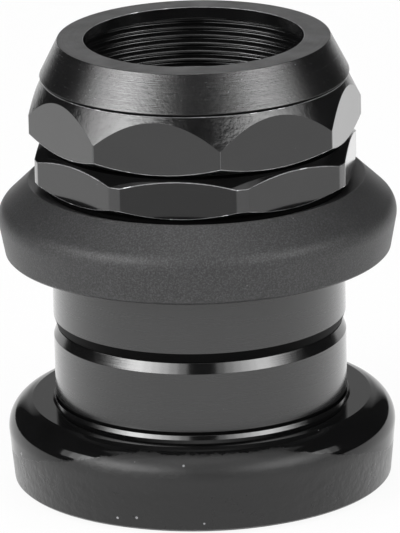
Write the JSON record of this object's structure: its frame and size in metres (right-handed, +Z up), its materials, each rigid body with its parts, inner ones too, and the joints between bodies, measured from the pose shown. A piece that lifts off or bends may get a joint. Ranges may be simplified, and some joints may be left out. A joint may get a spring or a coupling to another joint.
{
  "type": "bicycle headset",
  "caption": "Threaded bicycle headset: head tube cups, caged ball bearings, crown race, octagonal adjusting race under a dust cover, keyed washer and locknut, on which a fork turns.",
  "frame": {"origin": "on the steering axis, in the plane of the crown race's underside, where the headset stands", "axes": "+Z up along the steering axis, from the crown race to the locknut; -Y towards the viewer of the picture, +X to the viewer's right"},
  "size_m": [0.0464, 0.0464, 0.0533],
  "materials": {
    "nut_black": "satin black",
    "cup_satin": "satin black",
    "cup_gloss": "gloss black",
    "cover_plastic": "matte, fine grain",
    "ball_steel": "polished",
    "pressed_steel": "pressed, plain",
    "ground_steel": "turned and ground",
    "seal_rubber": "matte"
  },
  "bodies": {
    "cups": {"upper_cup": "cup_satin", "lower_cup": "cup_gloss"},
    "top_race": {"adjusting_race": "nut_black", "dust_cover": "cover_plastic", "keyed_washer": "pressed_steel", "locknut": "nut_black"},
    "upper_ball_ring": {"upper_retainer": "pressed_steel", "upper_ball_01": "ball_steel", "upper_ball_02": "ball_steel", "upper_ball_03": "ball_steel", "upper_ball_04": "ball_steel", "upper_ball_05": "ball_steel", "upper_ball_06": "ball_steel", "upper_ball_07": "ball_steel", "upper_ball_08": "ball_steel", "upper_ball_09": "ball_steel", "upper_ball_10": "ball_steel", "upper_ball_11": "ball_steel", "upper_ball_12": "ball_steel", "upper_ball_13": "ball_steel", "upper_ball_14": "ball_steel", "upper_ball_15": "ball_steel", "upper_ball_16": "ball_steel", "upper_ball_17": "ball_steel", "upper_ball_18": "ball_steel", "upper_ball_19": "ball_steel", "upper_ball_20": "ball_steel"},
    "crown": {"crown_race": "ground_steel", "lower_seal": "seal_rubber"},
    "lower_ball_ring": {"lower_retainer": "pressed_steel", "lower_ball_01": "ball_steel", "lower_ball_02": "ball_steel", "lower_ball_03": "ball_steel", "lower_ball_04": "ball_steel", "lower_ball_05": "ball_steel", "lower_ball_06": "ball_steel", "lower_ball_07": "ball_steel", "lower_ball_08": "ball_steel", "lower_ball_09": "ball_steel", "lower_ball_10": "ball_steel", "lower_ball_11": "ball_steel", "lower_ball_12": "ball_steel", "lower_ball_13": "ball_steel", "lower_ball_14": "ball_steel", "lower_ball_15": "ball_steel", "lower_ball_16": "ball_steel", "lower_ball_17": "ball_steel", "lower_ball_18": "ball_steel", "lower_ball_19": "ball_steel", "lower_ball_20": "ball_steel"}
  },
  "joints": [
    {"name": "upper_turn", "type": "hinge", "parent": "cups", "child": "top_race", "pos_m": [0, 0, 0], "axis": [0, 0, 1], "continuous": true},
    {"name": "upper_balls_turn", "type": "hinge", "parent": "cups", "child": "upper_ball_ring", "pos_m": [0, 0, 0], "axis": [0, 0, 1], "continuous": true},
    {"name": "lower_turn", "type": "hinge", "parent": "cups", "child": "crown", "pos_m": [0, 0, 0], "axis": [0, 0, 1], "continuous": true},
    {"name": "lower_balls_turn", "type": "hinge", "parent": "cups", "child": "lower_ball_ring", "pos_m": [0, 0, 0], "axis": [0, 0, 1], "continuous": true}
  ],
  "couplings": [
    {"joint": "upper_balls_turn", "follows": "upper_turn", "ratio": 0.461},
    {"joint": "lower_balls_turn", "follows": "lower_turn", "ratio": 0.461}
  ]
}
